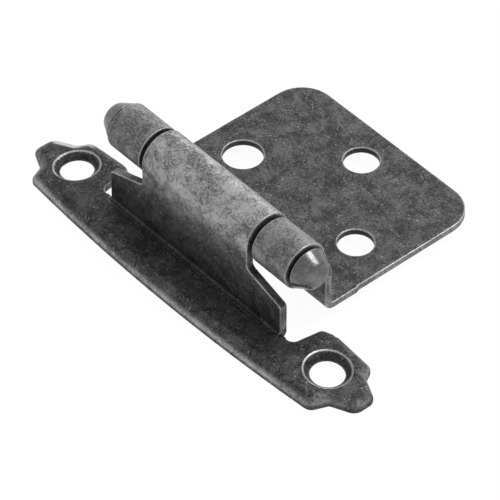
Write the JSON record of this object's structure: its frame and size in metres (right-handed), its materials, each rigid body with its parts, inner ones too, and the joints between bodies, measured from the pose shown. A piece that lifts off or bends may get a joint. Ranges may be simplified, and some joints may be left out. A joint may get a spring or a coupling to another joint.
{
  "type": "self-closing surface hinge",
  "caption": "Dark pewter sheet-steel cabinet hinge: bowed frame wing with an upright knuckle, flanged door wing, headed pin and an inner closing spring.",
  "frame": {"origin": "on the frame wing's mounting face, midway between its two screw holes", "axes": "+X along the hinge axis, +Y from the frame wing towards the door wing, +Z out of the cabinet, away from the mounting face"},
  "size_m": [0.0694, 0.0438, 0.0172],
  "materials": {
    "frame_pewter": "tumbled antique pewter plating, mottled dark grey with brighter rubbed edges",
    "door_pewter": "tumbled antique pewter plating, mottled dark grey with brighter rubbed edges",
    "pin_steel": "turned and tumbled, satin dark pewter",
    "spring_steel": "bare spring strip"
  },
  "bodies": {
    "frame_side": {"frame_wing": "frame_pewter", "closing_spring": "spring_steel"},
    "door_side": {"door_wing": "door_pewter", "hinge_pin": "pin_steel", "pin_tip": "pin_steel"}
  },
  "joints": [
    {"name": "door_swing", "type": "hinge", "parent": "frame_side", "child": "door_side", "pos_m": [0, 0.00292, 0.01342], "axis": [1, 0, 0], "range_deg": [0, 180], "stiffness_Nm_per_rad": 0.05, "springref_deg": -22.92, "deforming": ["closing_spring"]}
  ]
}
